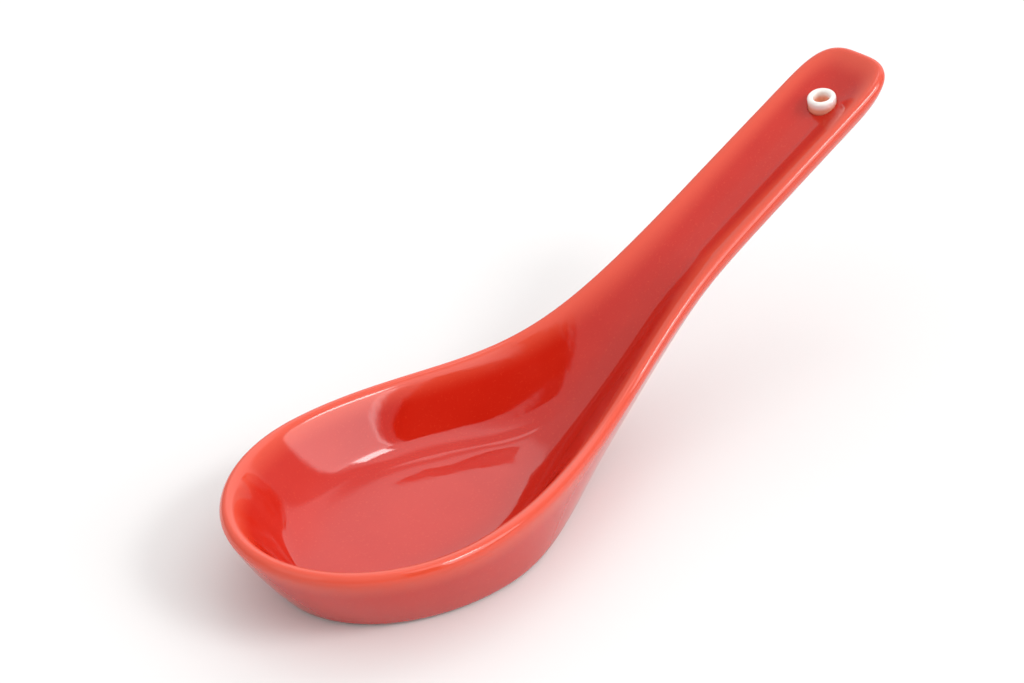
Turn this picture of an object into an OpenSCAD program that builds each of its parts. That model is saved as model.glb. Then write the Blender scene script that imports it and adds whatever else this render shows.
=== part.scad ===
// Soup spoon of glazed ceramic: a flat-bottomed bowl that runs up into a gutter-shaped
// handle, with a white eyelet in the hanging hole at the end of the handle.
// Millimetres, +Z up. +X runs along the spoon from the tip of the bowl to the end of the
// handle, and the two sides mirror each other across the XZ plane. The origin is on the
// surface that the spoon stands on, under the middle of its length.

/* [Spoon] */
// Length of the fired clay, from the tip of the bowl to the end of the handle
clay_len = 136.8; // [125:0.2:160]
// Radius of the top and the inner side of the lip that runs all round the rim
lip_r = 1.4; // [1:0.05:1.6]
// Distance from the outer side of the lip to its top
lip_side = 0.8; // [0.6:0.05:1.6]
// Thickness of the glaze
glaze_t = 0.3; // [0.2:0.05:0.5]
// Height above the table at which the glaze stops, wiped off the foot before firing
glaze_line_h = 0.4; // [0.2:0.1:1]

/* [Bowl] */
// Width of the bowl across its rim
bowl_w = 44.4; // [38:0.2:50]
// Distance from the tip to the widest place of the bowl
bowl_mid = 26.6; // [24:0.2:36]
// Height of the rim at the tip
rim_h = 14.2; // [12:0.1:18]
// Angle at which the rim falls from the tip towards the middle of the bowl
rim_fall_angle = 0.3; // [0:0.1:3]
// How far the outer wall sags below a straight line from rim to foot
wall_sag = 1.4; // [0:0.1:2]
// Thickness of the bowl's floor
floor_t = 3.5; // [2.6:0.1:4.2]
// Size of the rounded corner between the inner wall and the floor
inner_corner = 5; // [2:0.1:6]

/* [Foot] */
// How far the foot's edge lies inside the rim at the tip
foot_tip_inset = 8.1; // [6:0.1:11]
// How far the foot's edge lies inside the rim at the sides of the bowl
foot_side_inset = 3.6; // [2.5:0.1:6]
// Distance from the tip to the widest place of the foot
foot_mid = 34.2; // [28:0.2:40]
// Distance from the tip to the place where the foot's taper ends
foot_neck_at = 83.4; // [75:0.2:92]
// Distance from the tip to the place where the flat foot ends
foot_end = 53; // [46:0.2:58]
// Size of the rounded edge of the foot and of the handle's back
foot_corner = 1.8; // [1:0.1:3]
// How far the floor's edge lies inside the foot's edge at the tip
floor_tip_inset = 1.6; // [1:0.1:4]
// How far the floor's edge lies inside the foot's edge at the sides of the bowl
floor_side_inset = 4.4; // [2:0.1:5.4]
// Distance from the tip to the place where the floor's taper ends
floor_neck_at = 77; // [70:0.2:92]

/* [Handle] */
// Width of the handle at its neck
neck_w = 15.6; // [14:0.2:20]
// Width of the handle near its end
end_w = 15.6; // [14:0.2:22]
// Distance from the tip to the neck, where the bowl's taper ends
neck_at = 104.5; // [90:0.5:112]
// Distance from the tip to the place where the width starts to change to the end's
flare_from = 100; // [88:0.5:112]
// Length of the rounded end of the handle
end_round_len = 11.4; // [8:0.2:15]
// Distance from the tip to the place where the rim turns up into the handle
bend_at = 66.9; // [60:0.2:75]
// Length over which the rim turns up
bend_len = 6.3; // [5:0.1:12]
// Angle of the handle's lower half above the table
handle_angle = 30.8; // [25:0.1:38]
// Distance from the tip to the place where the handle starts to level out
level_at = 87; // [78:0.2:100]
// Length over which the handle levels out
level_len = 5.8; // [4:0.1:12]
// Angle of the handle's end above the table
end_angle = 22.9; // [15:0.1:30]
// Distance from the tip to the place where the back reaches the handle's thickness
back_end = 94; // [85:0.5:110]
// Depth of the handle from its lip to its back
handle_h = 4.6; // [4.2:0.1:6.5]
// Thickness of the clay under the handle's gutter
handle_t = 1.8; // [1.6:0.1:2.8]
// How far the back's edge lies inside the lip along the handle
back_inset = 2.1; // [1.6:0.1:3.6]
// How far the handle's side sags below a straight line from lip to back
side_sag = 1; // [0:0.1:1.2]
// Width of the bottom of the gutter, between its sloping sides
gutter_w = 4.4; // [0.8:0.1:6]
// Distance from the end of the handle to the end of the gutter's bottom
gutter_end_inset = 7.4; // [4:0.2:7.4]

/* [Hanging hole] */
// Distance from the end of the handle to the centre of the hanging hole
hole_inset = 9.8; // [8.4:0.1:16]
// Radius of the hole through the eyelet
hole_r = 1.4; // [1:0.05:2]
// Thickness of the eyelet's wall
eyelet_wall = 1.05; // [0.8:0.05:1.6]
// Height of the eyelet above the glazed gutter
eyelet_proud = 2; // [1:0.1:3.2]
// Height of the eyelet below the glazed back
eyelet_under = 0.6; // [0.4:0.05:1]
// Angle by which the hole leans from square to the handle's back towards upright
hole_lean = 9; // [0:1:20]
// Gap round the eyelet in its seat
seat_gap = 0.05; // [0.02:0.01:0.1]

/* [Hidden] */
// Stations from the tip to the end of the handle, an even number
stations = 40;
// Roundness of the outline: 2 is an ellipse, and more is squarer
tip_power = 2;
end_power = 3.5;
// Steepness of the taper from the bowl to the neck
taper_power = 1.51;
// Places across the bottom and across the floor, as shares of their half widths
across_shares = [0, 0.5];
// Places along a rounded corner
corner_shares = [0, 0.25, 0.5, 0.75, 1];
// Largest share of a side that a rounded corner may take
corner_limit_share = 0.45;
// Place between two rails where a wall gets one more
middle_share = 0.5;
// Places round the lip, as shares of the turn from its outer side to the inner wall
lip_shares = [0:1/6:1];
// Distance over which a slope is measured
slope_run = 0.1;
// Overrun of every cut
over = 1;
// Distance from the tip to the centre of the hanging hole
hole_at = clay_len - hole_inset;
eyelet_r = hole_r + eyelet_wall;
seat_r = eyelet_r + seat_gap;

// Shape functions

function softplus(x, len) = len * ln(1 + exp(x / len));

function ease(t) = let (u = min(max(t, 0), 1)) u * u * (3 - 2 * u);

function mix(a, b, t) = a + (b - a) * t;

function bend(a, b, c, t) = mix(mix(a, b, t), mix(b, c, t), t);

// Height of the top of the rim
function rim_z(x) = rim_h - tan(rim_fall_angle) * x
    + (tan(handle_angle) + tan(rim_fall_angle)) * softplus(x - bend_at, bend_len)
    - (tan(handle_angle) - tan(end_angle)) * softplus(x - level_at, level_len);

// How far the spoon has changed from bowl to handle
function handle_share(x) = ease((x - foot_end) / (back_end - foot_end));

// Height of the bottom of the foot and of the handle's back
function back_z(x) = handle_share(x) * (rim_z(x) - handle_h);

function back_angle(x) = atan((back_z(x + slope_run) - back_z(x - slope_run)) / (2 * slope_run));

// Height of the bowl's floor and of the handle's gutter
function floor_z(x) = back_z(x) + mix(floor_t, handle_t, handle_share(x)) / cos(back_angle(x));

// Half width of a closed outline that runs from x0 to x1, is widest at mid, ends its
// taper at neck_x and has the half widths wide, neck and end
function half_width(x, x0, x1, mid, neck_x, wide, neck, end) =
    let (
        along = min(max((x - mid) / (neck_x - mid), 0), 1),
        taper = pow((1 + cos(180 * along)) / 2, taper_power),
        handle = mix(neck, end, ease((x - flare_from) / (x1 - end_round_len - flare_from))),
        front = min(max((mid - x) / (mid - x0), 0), 1),
        back = min(max((x - x1 + end_round_len) / end_round_len, 0), 1)
    )
    mix(handle, wide, taper)
    * pow(1 - pow(front, tip_power), 1 / tip_power)
    * pow(1 - pow(back, end_power), 1 / end_power);

// A place on the lip, at an angle from its outer side over its top
function lip_point(along, angle) =
    let (
        inset = lip_side - (angle < 90 ? lip_side : lip_r) * cos(angle),
        x = mix(inset, clay_len - inset, along),
        y = half_width(x, inset, clay_len - inset, bowl_mid, neck_at,
            bowl_w / 2 - inset, neck_w / 2 - inset, end_w / 2 - inset)
    )
    [x, y, rim_z(x) - lip_r + lip_r * sin(angle)];

// A corner line under the lip, from x0 to x1, whose taper ends at neck_x
function corner_xy(along, x0, x1, neck_x, wide, neck, end) =
    let (x = mix(x0, x1, along))
    [x, half_width(x, x0, x1, foot_mid, neck_x, wide, neck, end)];

function foot_point(along) =
    let (p = corner_xy(along, foot_tip_inset, clay_len - back_inset, foot_neck_at,
        bowl_w / 2 - foot_side_inset, neck_w / 2 - back_inset, end_w / 2 - back_inset))
    [p.x, p.y, back_z(p.x)];

function floor_point(along) =
    let (p = corner_xy(along, foot_tip_inset + floor_tip_inset, clay_len - gutter_end_inset,
        floor_neck_at, bowl_w / 2 - foot_side_inset - floor_side_inset, gutter_w / 2,
        gutter_w / 2))
    [p.x, p.y, floor_z(p.x)];

// The angle at which the lip runs straight on into the wall down to the floor's edge
function lip_turn(along) =
    let (
        centre = lip_point(along, 90) - [0, 0, lip_r],
        edge = floor_point(along),
        drop = centre.z - edge.z,
        flat = norm([edge.x - centre.x, edge.y - centre.y])
    )
    180 + atan2(drop, flat) - acos(lip_r / norm([drop, flat]));

// The middle line of the bottom, and of the floor above it
function middle_x(along, tip, back) = mix(tip + foot_corner, clay_len - back - foot_corner, along);

function keel_point(along) =
    let (x = middle_x(along, foot_tip_inset, back_inset))
    [x, 0, back_z(x)];

function trough_point(along) =
    let (x = middle_x(along, foot_tip_inset + floor_tip_inset, gutter_end_inset))
    [x, 0, floor_z(x)];

// The point that lies a corner's size from p towards q
function towards(p, q, size) =
    mix(p, q, min(size / max(norm(q - p), slope_run), corner_limit_share));

// The middle of the outer wall, which sags a little
function wall_middle(low, high) =
    let (p = mix(low, high, middle_share))
    p - [0, 0, mix(wall_sag * middle_share, side_sag, handle_share(p.x))];

// One section through half of the spoon's wall: from the keel, round the foot's edge, up
// the outer wall, over the lip, down the inner wall, round the floor's edge to the trough
function section(along) =
    let (
        keel = keel_point(along),
        foot = foot_point(along),
        turn = lip_turn(along),
        outer = lip_point(along, 0),
        inner = lip_point(along, turn),
        edge = floor_point(along),
        trough = trough_point(along),
        foot_in = towards(foot, keel, foot_corner),
        foot_up = towards(foot, outer, foot_corner),
        edge_up = towards(edge, inner, inner_corner),
        edge_in = towards(edge, trough, inner_corner)
    )
    concat(
        [for (t = across_shares) mix(keel, foot_in, t)],
        [for (t = corner_shares) bend(foot_in, foot, foot_up, t)],
        [wall_middle(foot_up, outer)],
        [for (t = lip_shares) lip_point(along, t * turn)],
        [mix(inner, edge_up, middle_share)],
        [for (t = corner_shares) bend(edge_up, edge, edge_in, t)],
        [for (i = [len(across_shares) - 1:-1:0]) mix(trough, edge_in, across_shares[i])]
    );

// The spoon as a grid of stations along it and rails round its section

function mirrored(p) = [p.x, -p.y, p.z];

clay_grid = [for (i = [0:stations]) section((1 - cos(180 * i / stations)) / 2)];
rails = len(clay_grid[0]);

// The neighbours of a point along its rail, across the mirror plane at both ends
function next_along(grid, i, j) =
    i < stations ? grid[i + 1][j] : mirrored(grid[i - 1][j]);

function last_along(grid, i, j) =
    i > 0 ? grid[i - 1][j] : mirrored(grid[1][j]);

// Outward direction at a point of the grid
function normal(grid, i, j) =
    let (
        low = j == 0,
        top = j == rails - 1,
        middle = low || top,
        along = middle
            ? grid[min(i + 1, stations)][j] - grid[max(i - 1, 0)][j]
            : next_along(grid, i, j) - last_along(grid, i, j),
        across = low ? [0, 1, 0] : top ? [0, -1, 0] : grid[i][j + 1] - grid[i][j - 1],
        n = cross(across, along)
    )
    n / norm(n);

glazed_grid = [
    for (i = [0:stations]) [
        for (j = [0:rails - 1]) clay_grid[i][j] + glaze_t * normal(clay_grid, i, j)
    ]
];

// The point that is under the middle of the glazed spoon's length
glazed_x = [for (row = glazed_grid) for (p = row) p.x];
middle = (min(glazed_x) + max(glazed_x)) / 2;

// Number of a grid point in the list of points, with k running along the far side from
// the tip to the end and back along the near side
function number(j, k) =
    let (
        turn = k % (2 * stations),
        folded = turn > stations ? 2 * stations - turn : turn
    )
    j == 0 ? folded
        : stations + 1 + (j - 1) * 2 * stations + (j == rails - 1 ? folded : turn);

module skin(grid) {
    keel = [for (i = [0:stations]) grid[i][0]];
    sides = [
        for (j = [1:rails - 2])
            for (k = [0:2 * stations - 1])
                k > stations ? mirrored(grid[2 * stations - k][j]) : grid[k][j]
    ];
    trough = [for (i = [0:stations]) grid[i][rails - 1]];
    // Each patch is cut from its corner that is nearer the middle of the spoon, so that
    // no triangle is flat at the two ends
    triangles = [
        for (j = [0:rails - 2])
            for (k = [0:2 * stations - 1])
                let (
                    a = number(j, k),
                    b = number(j, k + 1),
                    c = number(j + 1, k + 1),
                    d = number(j + 1, k),
                    outside = j < rails / 2,
                    first = (floor(2 * k / stations) % 2 == 0) == outside
                )
                each first ? [[a, b, c], [a, c, d]] : [[a, b, d], [b, c, d]]
    ];
    polyhedron(points = concat(keel, sides, trough), faces = triangles);
}

// Hanging hole

hole_tilt = back_angle(hole_at) - hole_lean;
hole_wall = mix(floor_t, handle_t, handle_share(hole_at));
eyelet_top = glaze_t + eyelet_proud;
eyelet_low = -hole_wall - glaze_t - eyelet_under;

module at_hole() {
    translate([hole_at, 0, floor_z(hole_at)])
        rotate([0, -hole_tilt, 0])
            children();
}

module seat_hole() {
    at_hole()
        translate([0, 0, eyelet_low - over])
            cylinder(r = seat_r, h = eyelet_top - eyelet_low + 2 * over, $fn = 64);
}

// Sub-parts

module clay_body() {
    color("linen")
        translate([-middle, 0, 0])
            difference() {
                skin(clay_grid);
                seat_hole();
            }
}

module glaze_coat() {
    color("tomato")
        translate([-middle, 0, 0])
            difference() {
                skin(glazed_grid);
                skin(clay_grid);
                seat_hole();
                translate([-over, -bowl_w, glaze_line_h - clay_len])
                    cube([clay_len + 2 * over, 2 * bowl_w, clay_len]);
            }
}

module hang_eyelet() {
    bead_r = eyelet_wall / 2;
    edge = eyelet_under / 2;
    color("white")
        translate([-middle, 0, 0])
            at_hole()
                rotate_extrude($fn = 64) {
                    translate([hole_r + bead_r, eyelet_top - bead_r])
                        circle(r = bead_r, $fn = 32);
                    polygon([
                        [hole_r, eyelet_top - bead_r],
                        [hole_r, eyelet_low + edge],
                        [hole_r + edge, eyelet_low],
                        [eyelet_r - edge, eyelet_low],
                        [eyelet_r, eyelet_low + edge],
                        [eyelet_r, eyelet_top - bead_r],
                    ]);
                }
}

clay_body();
glaze_coat();
hang_eyelet();
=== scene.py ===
# Soup spoon of glazed ceramic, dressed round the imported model.
# Metres, +Z up, in the model's own frame: +X from the tip of the bowl to the handle's end.
import math

import bmesh
import bpy
import numpy as np
from mathutils import Matrix, Vector


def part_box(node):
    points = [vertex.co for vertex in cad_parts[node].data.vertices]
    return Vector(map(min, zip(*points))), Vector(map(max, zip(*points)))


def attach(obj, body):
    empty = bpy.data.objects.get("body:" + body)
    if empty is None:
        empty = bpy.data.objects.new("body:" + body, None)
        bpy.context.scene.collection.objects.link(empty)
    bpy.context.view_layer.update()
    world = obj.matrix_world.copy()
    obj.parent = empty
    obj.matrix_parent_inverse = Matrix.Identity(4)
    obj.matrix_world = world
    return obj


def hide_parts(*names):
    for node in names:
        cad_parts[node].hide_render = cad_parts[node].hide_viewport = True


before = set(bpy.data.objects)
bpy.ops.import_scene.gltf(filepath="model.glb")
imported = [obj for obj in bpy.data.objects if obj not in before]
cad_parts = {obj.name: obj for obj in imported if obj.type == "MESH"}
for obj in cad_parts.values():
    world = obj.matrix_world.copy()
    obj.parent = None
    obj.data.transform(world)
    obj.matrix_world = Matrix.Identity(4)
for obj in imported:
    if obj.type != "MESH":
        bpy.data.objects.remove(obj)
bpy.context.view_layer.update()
clay_low, clay_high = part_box("clay_body")

MM = 0.001

# Sizes of the spoon, as in the model, measured along X from the tip of the clay
tip_x = clay_low.x
clay_len = clay_high.x - clay_low.x
bowl_w = clay_high.y - clay_low.y
lip_r = 1.4 * MM
lip_side = 0.8 * MM
glaze_t = 0.3 * MM
glaze_line_h = 0.4 * MM
bowl_mid = 26.6 * MM
rim_h = 14.2 * MM
rim_fall = math.tan(math.radians(0.3))
wall_sag = 1.4 * MM
floor_t = 3.5 * MM
inner_corner = 5 * MM
foot_tip_inset = 8.1 * MM
foot_side_inset = 3.6 * MM
foot_mid = 34.2 * MM
foot_neck_at = 83.4 * MM
foot_end = 53 * MM
foot_corner = 1.8 * MM
floor_tip_inset = 1.6 * MM
floor_side_inset = 4.4 * MM
floor_neck_at = 77 * MM
neck_w = 15.6 * MM
end_w = 15.6 * MM
neck_at = 104.5 * MM
flare_from = 100 * MM
end_round_len = 11.4 * MM
bend_at = 66.9 * MM
bend_len = 6.3 * MM
handle_slope = math.tan(math.radians(30.8))
level_at = 87 * MM
level_len = 5.8 * MM
end_slope = math.tan(math.radians(22.9))
back_end = 94 * MM
handle_h = 4.6 * MM
handle_t = 1.8 * MM
side_sag = 1 * MM
back_inset = 2.1 * MM
gutter_w = 4.4 * MM
gutter_end_inset = 7.4 * MM
hole_at = clay_len - 9.8 * MM
hole_r = 1.4 * MM
eyelet_wall = 1.05 * MM
eyelet_proud = 2 * MM
eyelet_under = 0.6 * MM
hole_lean = math.radians(9)
seat_gap = 0.05 * MM
slope_run = 0.1 * MM
middle_share = 0.5

# How round the outline is at the tip and at the end, and how steep its taper is
tip_power = 2
end_power = 3.5
taper_power = 1.51
corner_limit_share = 0.45

# Fineness of the meshes
stations = 220
steps = 4
corner_points = 5
lip_points = 7
round_sides = 96
crown_points = 13
side_points = 12
weld = 0.0001 * MM


# Shape functions

def softplus(x, run):
    return run * np.log1p(np.exp(x / run))


def ease(t):
    t = np.clip(t, 0, 1)
    return t * t * (3 - 2 * t)


def mix(a, b, t):
    return a + (b - a) * t


def rim_z(x):
    """Height of the top of the clay's rim."""
    return (rim_h - rim_fall * x + (handle_slope + rim_fall) * softplus(x - bend_at, bend_len)
            - (handle_slope - end_slope) * softplus(x - level_at, level_len))


def handle_share(x):
    return ease((x - foot_end) / (back_end - foot_end))


def back_z(x):
    """Height of the bottom of the foot and of the handle's back."""
    return handle_share(x) * (rim_z(x) - handle_h)


def back_slope(x):
    return (back_z(x + slope_run) - back_z(x - slope_run)) / (2 * slope_run)


def floor_z(x):
    """Height of the bowl's floor and of the handle's gutter."""
    return back_z(x) + mix(floor_t, handle_t, handle_share(x)) * np.sqrt(1 + back_slope(x) ** 2)


def half_width(x, x0, x1, mid, neck_x, wide, neck, end):
    """Half width of a closed outline from x0 to x1 that tapers from mid to neck_x."""
    along = np.clip((x - mid) / (neck_x - mid), 0, 1)
    taper = ((1 + np.cos(np.pi * along)) / 2) ** taper_power
    handle = mix(neck, end, ease((x - flare_from) / (x1 - end_round_len - flare_from)))
    front = np.clip((mid - x) / (mid - x0), 0, 1)
    back = np.clip((x - x1 + end_round_len) / end_round_len, 0, 1)
    return (mix(handle, wide, taper) * (1 - front ** tip_power) ** (1 / tip_power)
            * (1 - back ** end_power) ** (1 / end_power))


def lip_point(along, angle):
    """A place on the lip, at an angle from its outer side over its top."""
    inset = lip_side - np.where(np.cos(angle) > 0, lip_side, lip_r) * np.cos(angle)
    x = mix(inset, clay_len - inset, along)
    y = half_width(x, inset, clay_len - inset, bowl_mid, neck_at,
                   bowl_w / 2 - inset, neck_w / 2 - inset, end_w / 2 - inset)
    return np.stack([x, y, rim_z(x) - lip_r + lip_r * np.sin(angle)], axis=-1)


def lip_turn(along, edge):
    """The angle at which the lip runs straight on into the wall down to the floor's edge."""
    centre = lip_point(along, math.pi / 2) - [0, 0, lip_r]
    drop = centre[:, 2] - edge[:, 2]
    flat = np.linalg.norm((edge - centre)[:, :2], axis=-1)
    return math.pi + np.arctan2(drop, flat) - np.arccos(lip_r / np.hypot(drop, flat))


def corner_point(along, x0, x1, neck_x, wide, neck, end, height):
    """A corner line inside the rim, from x0 to x1, at a height that follows x."""
    x = mix(x0, x1, along)
    y = half_width(x, x0, x1, foot_mid, neck_x, wide, neck, end)
    return np.stack([x, y, height(x)], axis=-1)


def middle_point(along, tip, back, height):
    """The line along the middle of the bottom or of the floor."""
    x = mix(tip + foot_corner, clay_len - back - foot_corner, along)
    return np.stack([x, 0 * x, height(x)], axis=-1)


def towards(p, q, size):
    gap = np.linalg.norm(q - p, axis=-1, keepdims=True)
    return mix(p, q, np.minimum(size / np.maximum(gap, slope_run), corner_limit_share))


def bend(a, b, c, t):
    return mix(mix(a, b, t), mix(b, c, t), t)


def section(along):
    """The rails round half of the wall at each station, from the keel to the trough."""
    floor_tip = foot_tip_inset + floor_tip_inset
    foot_half = bowl_w / 2 - foot_side_inset
    keel = middle_point(along, foot_tip_inset, back_inset, back_z)
    foot = corner_point(along, foot_tip_inset, clay_len - back_inset, foot_neck_at, foot_half,
                        neck_w / 2 - back_inset, end_w / 2 - back_inset, back_z)
    edge = corner_point(along, floor_tip, clay_len - gutter_end_inset, floor_neck_at,
                        foot_half - floor_side_inset, gutter_w / 2, gutter_w / 2, floor_z)
    turn = lip_turn(along, edge)
    outer = lip_point(along, 0)
    inner = lip_point(along, turn)
    trough = middle_point(along, floor_tip, gutter_end_inset, floor_z)
    foot_in = towards(foot, keel, foot_corner)
    foot_up = towards(foot, outer, foot_corner)
    edge_up = towards(edge, inner, inner_corner)
    edge_in = towards(edge, trough, inner_corner)
    wall = mix(foot_up, outer, middle_share)
    wall[:, 2] -= mix(wall_sag * middle_share, side_sag, handle_share(wall[:, 0]))
    corner = np.linspace(0, 1, corner_points)
    rails = [keel, mix(keel, foot_in, middle_share)]
    rails += [bend(foot_in, foot, foot_up, t) for t in corner]
    rails += [wall]
    rails += [lip_point(along, t * turn) for t in np.linspace(0, 1, lip_points)]
    rails += [mix(inner, edge_up, middle_share)]
    rails += [bend(edge_up, edge, edge_in, t) for t in corner]
    rails += [mix(trough, edge_in, middle_share), trough]
    return np.stack(rails, axis=1) + [tip_x, 0, 0]


def smooth(rails):
    """A cubic B-spline across the rails, carried over the mirror plane at both ends."""
    mirror = np.array([1, -1, 1])
    p = np.concatenate([rails[:, 1:2] * mirror, rails, rails[:, -2:-1] * mirror], axis=1)
    a, b, c, d = p[:, :-3], p[:, 1:-2], p[:, 2:-1], p[:, 3:]
    fine = [((1 - t) ** 3 * a + (3 * t ** 3 - 6 * t ** 2 + 4) * b
             + (-3 * t ** 3 + 3 * t ** 2 + 3 * t + 1) * c + t ** 3 * d) / 6
            for t in np.arange(steps) / steps]
    fine = np.stack(fine, axis=2).reshape(len(rails), -1, 3)
    last = (p[:, -3:-2] + 4 * p[:, -2:-1] + p[:, -1:]) / 6
    return np.concatenate([fine, last], axis=1)


def spoon_skin(name):
    """The closed surface of the clay, with how far each point is from the top of the lip."""
    along = (1 - np.cos(np.pi * np.arange(stations + 1) / stations)) / 2
    grid = smooth(section(along))
    lip = lip_point(along, math.pi / 2) + [tip_x, 0, 0]
    away = np.linalg.norm(grid - lip[:, None, :], axis=-1)
    bm = bmesh.new()
    lip_away = bm.verts.layers.float.new("lip_away")
    for side in (1, -1):
        half = grid * [1, side, 1]
        verts = [[bm.verts.new(p) for p in row] for row in half]
        for i, row in enumerate(verts):
            for j, vert in enumerate(row):
                vert[lip_away] = away[i, j]
        for i in range(len(verts) - 1):
            for j in range(len(verts[0]) - 1):
                quad = [verts[i][j], verts[i + 1][j], verts[i + 1][j + 1], verts[i][j + 1]]
                bm.faces.new(quad[::side])
    bmesh.ops.remove_doubles(bm, verts=bm.verts, dist=weld)
    bmesh.ops.recalc_face_normals(bm, faces=bm.faces)
    return finish_mesh(name, bm)


def finish_mesh(name, bm):
    """An object from a bmesh, smooth shaded."""
    for face in bm.faces:
        face.smooth = True
    mesh = bpy.data.meshes.new(name)
    bm.to_mesh(mesh)
    bm.free()
    piece = bpy.data.objects.new(name, mesh)
    bpy.context.scene.collection.objects.link(piece)
    return piece


def grown(mesh, distance):
    """A copy of a mesh in a bmesh, with each point moved outwards by a distance."""
    bm = bmesh.new()
    bm.from_mesh(mesh)
    bm.normal_update()
    moved = [vert.co + vert.normal * distance for vert in bm.verts]
    for vert, place in zip(bm.verts, moved):
        vert.co = place
    return bm


def hole_frame():
    """The place of the hanging hole, with Z along its axis and zero on the clay's gutter."""
    tilt = math.atan(float(back_slope(hole_at))) - hole_lean
    place = Vector((tip_x + hole_at, 0, float(floor_z(hole_at))))
    return Matrix.Translation(place) @ Matrix.Rotation(-tilt, 4, "Y")


def drill(piece, radius):
    """Cuts the hanging hole's seat through a piece."""
    cutter_len = 4 * handle_h
    bm = bmesh.new()
    bmesh.ops.create_cone(bm, cap_ends=True, segments=round_sides, radius1=radius,
                          radius2=radius, depth=cutter_len, matrix=hole_frame())
    cutter = finish_mesh("cutter", bm)
    cut = piece.modifiers.new("seat", "BOOLEAN")
    cut.operation = "DIFFERENCE"
    cut.solver = "EXACT"
    cut.object = cutter
    bpy.context.view_layer.objects.active = piece
    bpy.ops.object.modifier_apply(modifier=cut.name)
    bpy.data.objects.remove(cutter)


# Node helpers

def new_material(name):
    material = bpy.data.materials.new(name)
    material.use_nodes = True
    tree = material.node_tree
    return material, tree, tree.nodes["Principled BSDF"]


def add(tree, kind, settings=None, **inputs):
    """A node with its settings, and with its named inputs set or linked."""
    made = tree.nodes.new(kind)
    for key, value in (settings or {}).items():
        setattr(made, key, value)
    for key, value in inputs.items():
        socket = made.inputs[key.replace("_", " ")]
        if isinstance(value, bpy.types.NodeSocket):
            tree.links.new(value, socket)
        else:
            socket.default_value = value
    return made


def ramp(tree, value, low, high, low_to=0.0, high_to=1.0):
    """A smooth change from low_to to high_to as value goes from low to high."""
    return add(tree, "ShaderNodeMapRange", {"interpolation_type": "SMOOTHSTEP"}, Value=value,
               From_Min=low, From_Max=high, To_Min=low_to, To_Max=high_to).outputs["Result"]


def blend_colour(tree, share, first, second):
    made = tree.nodes.new("ShaderNodeMix")
    made.data_type = "RGBA"
    for key, value in (("Factor_Float", share), ("A_Color", first), ("B_Color", second)):
        socket = next(s for s in made.inputs if s.identifier == key)
        if isinstance(value, bpy.types.NodeSocket):
            tree.links.new(value, socket)
        else:
            socket.default_value = value
    return next(s for s in made.outputs if s.identifier == "Result_Color")


def noise(tree, size, detail=2.0, roughness=0.5):
    """Noise whose features are about as large as size."""
    place = tree.nodes.new("ShaderNodeTexCoord").outputs["Object"]
    return add(tree, "ShaderNodeTexNoise", Vector=place, Scale=1 / size, Detail=detail,
               Roughness=roughness).outputs["Fac"]


def bump(tree, height, depth, strength=1.0):
    return add(tree, "ShaderNodeBump", Height=height, Distance=depth,
               Strength=strength).outputs["Normal"]


def calculate(tree, operation, *values):
    """A math node on sockets and numbers."""
    made = tree.nodes.new("ShaderNodeMath")
    made.operation = operation
    for socket, value in zip(made.inputs, values):
        if isinstance(value, bpy.types.NodeSocket):
            tree.links.new(value, socket)
        else:
            socket.default_value = value
    return made.outputs[0]


def seen_rays(tree):
    """1 for what the camera sees, straight or in a reflection, and 0 for light."""
    path = tree.nodes.new("ShaderNodeLightPath")
    return calculate(tree, "MAXIMUM", path.outputs["Is Camera Ray"],
                     path.outputs["Is Glossy Ray"])


def dot(tree, direction, axis):
    """How far a direction points along an axis."""
    made = tree.nodes.new("ShaderNodeVectorMath")
    made.operation = "DOT_PRODUCT"
    tree.links.new(direction, made.inputs[0])
    made.inputs[1].default_value = axis
    return made.outputs["Value"]


# Materials

def red_glaze():
    """A glossy red glaze that breaks to orange where it runs thin over the lip."""
    material, tree, shader = new_material("red_glaze")
    deep = (0.52, 0.014, 0.005, 1)
    light = (0.55, 0.018, 0.007, 1)
    thin = (0.71, 0.076, 0.038, 1)
    fleck = (0.60, 0.035, 0.014, 1)
    cloud_size = 14 * MM
    fleck_size = 0.4 * MM
    gloss_size = 6 * MM
    peel_size = 2.2 * MM
    peel_depth = 0.012 * MM
    thin_run = 5 * MM
    cloud = ramp(tree, noise(tree, cloud_size, detail=3), 0.35, 0.65)
    colour = blend_colour(tree, cloud, deep, light)
    specks = ramp(tree, noise(tree, fleck_size, detail=1), 0.6, 0.75, 0.0, 0.5)
    colour = blend_colour(tree, specks, colour, fleck)
    away = add(tree, "ShaderNodeAttribute", {"attribute_name": "lip_away"}).outputs["Fac"]
    colour = blend_colour(tree, ramp(tree, away, 0, thin_run, 1.0, 0.0), colour, thin)
    tree.links.new(colour, shader.inputs["Base Color"])
    rough = ramp(tree, noise(tree, gloss_size), 0.3, 0.7, 0.035, 0.075)
    tree.links.new(rough, shader.inputs["Roughness"])
    shader.inputs["IOR"].default_value = 1.52
    peel = noise(tree, peel_size, detail=1)
    tree.links.new(bump(tree, peel, peel_depth), shader.inputs["Normal"])
    return material


def bare_clay():
    """Fired clay without glaze, on the foot that was wiped clean."""
    material, tree, shader = new_material("bare_clay")
    dark = (0.60, 0.50, 0.40, 1)
    pale = (0.78, 0.70, 0.60, 1)
    grain_size = 0.5 * MM
    grain_depth = 0.05 * MM
    grain = noise(tree, grain_size, detail=4, roughness=0.7)
    colour = blend_colour(tree, ramp(tree, grain, 0.35, 0.7), dark, pale)
    tree.links.new(colour, shader.inputs["Base Color"])
    rough = ramp(tree, grain, 0.3, 0.7, 0.75, 0.95)
    tree.links.new(rough, shader.inputs["Roughness"])
    tree.links.new(bump(tree, grain, grain_depth), shader.inputs["Normal"])
    return material


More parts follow.
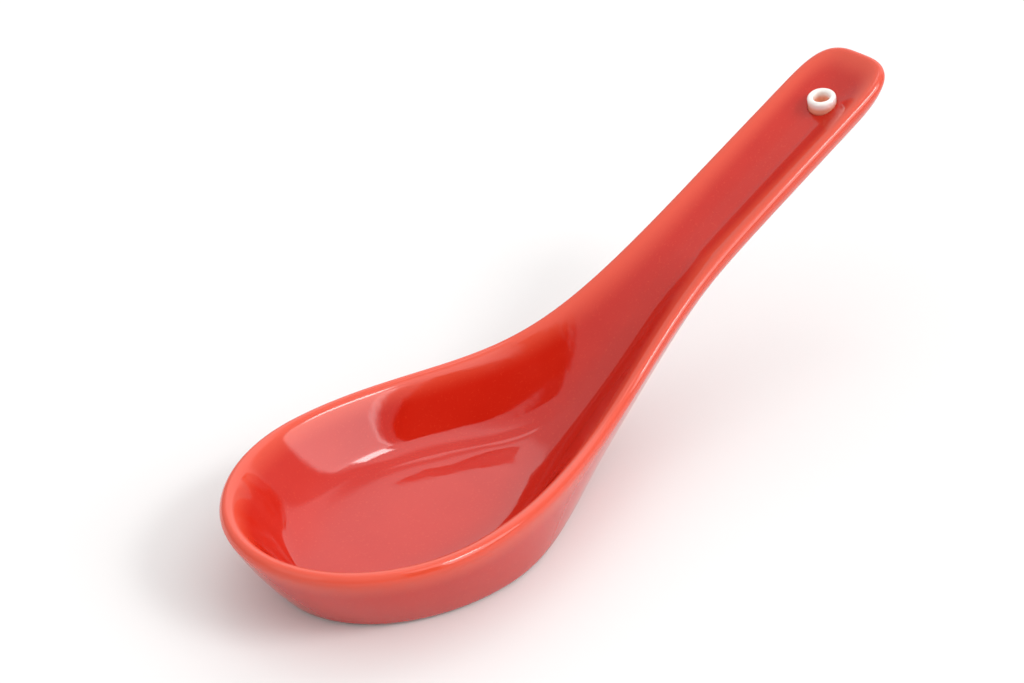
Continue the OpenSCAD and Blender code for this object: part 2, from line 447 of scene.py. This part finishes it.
def white_eyelet():
    """White glaze that takes up the red down in its bore and where it meets the gutter."""
    material, tree, shader = new_material("white_eyelet")
    cream = (0.90, 0.85, 0.80, 1)
    white = (0.94, 0.90, 0.87, 1)
    peach = (0.86, 0.40, 0.26, 1)
    red = (0.62, 0.06, 0.03, 1)
    cloud_size = 1.5 * MM
    gloss_size = 0.8 * MM
    peel_size = 0.9 * MM
    peel_depth = 0.02 * MM
    peach_run = (0.6 * MM, 1.6 * MM)
    red_run = (1.7 * MM, 2.6 * MM)
    cloud = ramp(tree, noise(tree, cloud_size), 0.35, 0.65)
    colour = blend_colour(tree, cloud, cream, white)
    depth = add(tree, "ShaderNodeAttribute", {"attribute_name": "depth"}).outputs["Fac"]
    colour = blend_colour(tree, ramp(tree, depth, *peach_run), colour, peach)
    colour = blend_colour(tree, ramp(tree, depth, *red_run), colour, red)
    tree.links.new(colour, shader.inputs["Base Color"])
    rough = ramp(tree, noise(tree, gloss_size), 0.3, 0.7, 0.12, 0.2)
    tree.links.new(rough, shader.inputs["Roughness"])
    peel = noise(tree, peel_size)
    tree.links.new(bump(tree, peel, peel_depth), shader.inputs["Normal"])
    return material


# Pieces

def dress(piece, node, material):
    """Gives a piece its material, hangs it under the root body, and hides the model's node that it
    stands in for.
    """
    piece.data.materials.clear()
    piece.data.materials.append(material)
    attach(piece, "root")
    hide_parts(node)


def make_glaze(skin):
    """A closed coat round the clay, which stops a little above the table."""
    bm = grown(skin.data, glaze_t)
    inside = grown(skin.data, 0)
    bmesh.ops.reverse_faces(inside, faces=inside.faces)
    mesh = bpy.data.meshes.new("inside")
    inside.to_mesh(mesh)
    inside.free()
    bm.from_mesh(mesh)
    bpy.data.meshes.remove(mesh)
    whole = list(bm.verts) + list(bm.edges) + list(bm.faces)
    bmesh.ops.bisect_plane(bm, geom=whole, dist=weld, plane_co=(0, 0, glaze_line_h),
                           plane_no=(0, 0, 1), clear_inner=True)
    open_edges = [edge for edge in bm.edges if edge.is_boundary]
    bmesh.ops.bridge_loops(bm, edges=open_edges)
    piece = finish_mesh("glaze", bm)
    drill(piece, hole_r + eyelet_wall + seat_gap)
    dress(piece, "glaze_coat", red_glaze())


def make_clay(skin):
    """The clay under the glaze, which shows on the foot."""
    piece = finish_mesh("clay", grown(skin.data, 0))
    drill(piece, hole_r + eyelet_wall + seat_gap)
    dress(piece, "clay_body", bare_clay())


def make_eyelet():
    """A round-topped ring that lines the hanging hole, with its depth under the crown.

    The depth inside the bore stops at bore_depth, so that the bore takes up only a little red.
    """
    top = glaze_t + eyelet_proud
    low = -handle_t - glaze_t - eyelet_under
    middle = hole_r + eyelet_wall / 2
    crown = eyelet_wall / 2
    heel = eyelet_under / 2
    bore_depth = 1.6 * MM
    side = np.linspace(top - crown, low + heel, side_points)[1:]
    profile = [(middle + crown * math.cos(a), top - crown + crown * math.sin(a))
               for a in np.linspace(0, math.pi, crown_points)]
    profile += [(hole_r, z) for z in side] + [(hole_r + heel, low)]
    profile += [(hole_r + eyelet_wall - heel, low)]
    profile += [(hole_r + eyelet_wall, z) for z in side[::-1]]
    bm = bmesh.new()
    depth = bm.verts.layers.float.new("depth")
    place = hole_frame()
    rings = []
    for turn in np.arange(round_sides) * 2 * math.pi / round_sides:
        rings.append([bm.verts.new(place @ Vector((r * math.cos(turn), r * math.sin(turn), z)))
                      for r, z in profile])
    for ring in rings:
        for vert, (r, z) in zip(ring, profile):
            vert[depth] = top - z if r > middle else min(top - z, bore_depth)
    for i, ring in enumerate(rings):
        after = rings[(i + 1) % round_sides]
        for j in range(len(profile)):
            k = (j + 1) % len(profile)
            bm.faces.new([ring[j], after[j], after[k], ring[k]])
    bmesh.ops.recalc_face_normals(bm, faces=bm.faces)
    piece = finish_mesh("eyelet", bm)
    dress(piece, "hang_eyelet", white_eyelet())


# Stage

# Patches of the sky in degrees: azimuth, half width, elevation, half height, soft edge
side_wall = (22, 37, 31, 21, 4)
window_glow = (-68, 27, 50, 15, 6)
window = (-61, 19, 25, 12, 2)
lamp = (-62, 12, 42, 5, 2)
window_frame = (-79, 0.9, 25, 11, 0.5)
ceiling_strip = (38, 26, 69, 6, 4)
back_wall = (180, 22, 27, 20, 6)
doorway = (-94.5, 9.5, 14, 24.5, 0.8)
door_frame = (-102, 2.5, 30, 17, 1)

# The patches that shine, with the radiance that each adds, and those that are dark, with how dark
shining = ((side_wall, 0.72), (window_glow, 1.1), (window, 2.8), (lamp, 13),
           (window_frame, 1.8), (ceiling_strip, 1.5), (back_wall, 0.5))
shaded = ((doorway, 1.0), (door_frame, 0.9))

# The level of the rest of the sky, low down and overhead, and the height Z where it starts to rise
low_light = 0.45
high_light = 1.02
rise_from = -0.1


def make_camera():
    """A camera that looks down on the spoon over its near side."""
    azimuth = math.radians(-44.926)
    elevation = math.radians(32.741)
    target = Vector((13.647, 29.195, 0)) * MM
    distance = 417.08 * MM
    near = 10 * MM
    far = 20
    back = Vector((math.sin(azimuth) * math.cos(elevation),
                   -math.cos(azimuth) * math.cos(elevation), math.sin(elevation)))
    data = bpy.data.cameras.new("camera")
    data.lens = 84.24
    data.sensor_width = 36
    data.clip_start = near
    data.clip_end = far
    camera = bpy.data.objects.new("camera", data)
    camera.location = target + back * distance
    camera.rotation_mode = "QUATERNION"
    camera.rotation_quaternion = (-back).to_track_quat("-Z", "Y")
    bpy.context.scene.collection.objects.link(camera)
    bpy.context.scene.camera = camera


def make_floor():
    """A pale matt floor that keeps the spoon's shadow."""
    half_size = 3
    glow = 0.03
    bm = bmesh.new()
    bmesh.ops.create_grid(bm, x_segments=1, y_segments=1, size=half_size)
    floor = finish_mesh("floor", bm)
    material, tree, shader = new_material("floor")
    shader.inputs["Base Color"].default_value = (0.78, 0.77, 0.765, 1)
    shader.inputs["Roughness"].default_value = 0.8
    shader.inputs["Specular IOR Level"].default_value = 0.2
    shader.inputs["Emission Color"].default_value = (1, 1, 1, 1)
    seen = calculate(tree, "MULTIPLY", seen_rays(tree), glow)
    tree.links.new(seen, shader.inputs["Emission Strength"])
    floor.data.materials.append(material)


def panel(tree, direction, azimuth, half_azimuth, elevation, half_elevation, soft):
    """A share that is 1 in a patch of the sky and fades to 0 over soft at its edges."""
    turn = math.radians(azimuth)
    ahead = dot(tree, direction, (math.cos(turn), math.sin(turn), 0))
    aside = dot(tree, direction, (-math.sin(turn), math.cos(turn), 0))
    up = dot(tree, direction, (0, 0, 1))
    off = calculate(tree, "ABSOLUTE", calculate(tree, "ARCTAN2", aside, ahead))
    height = calculate(tree, "SUBTRACT", calculate(tree, "ARCSINE", up),
                       math.radians(elevation))
    rise = calculate(tree, "ABSOLUTE", height)
    wide, tall, edge = (math.radians(a) for a in (half_azimuth, half_elevation, soft))
    across = ramp(tree, off, wide - edge, wide + edge, 1.0, 0.0)
    down = ramp(tree, rise, tall - edge, tall + edge, 1.0, 0.0)
    return calculate(tree, "MULTIPLY", across, down)


def make_world():
    """A pale room: a bright ceiling, a window, a narrow lamp and a dark doorway."""
    world = bpy.data.worlds.new("world")
    world.use_nodes = True
    tree = world.node_tree
    direction = tree.nodes.new("ShaderNodeTexCoord").outputs["Generated"]
    up = dot(tree, direction, (0, 0, 1))
    light = ramp(tree, up, rise_from, 1, low_light, high_light)
    for patch, radiance in shining:
        share = panel(tree, direction, *patch)
        light = calculate(tree, "ADD", light, calculate(tree, "MULTIPLY", share, radiance))
    for patch, depth in shaded:
        shade = calculate(tree, "MULTIPLY", panel(tree, direction, *patch), depth)
        light = calculate(tree, "MULTIPLY", light, calculate(tree, "SUBTRACT", 1.0, shade))
    path = tree.nodes.new("ShaderNodeLightPath")
    shown = calculate(tree, "MAXIMUM", light, path.outputs["Is Camera Ray"])
    background = tree.nodes["Background"]
    tree.links.new(shown, background.inputs["Strength"])
    background.inputs["Color"].default_value = (1, 1, 1, 1)
    bpy.context.scene.world = world


make_camera()
spoon = spoon_skin("spoon")
make_glaze(spoon)
make_clay(spoon)
bpy.data.objects.remove(spoon)
make_eyelet()
make_floor()
make_world()
bpy.context.scene.view_settings.view_transform = "Standard"
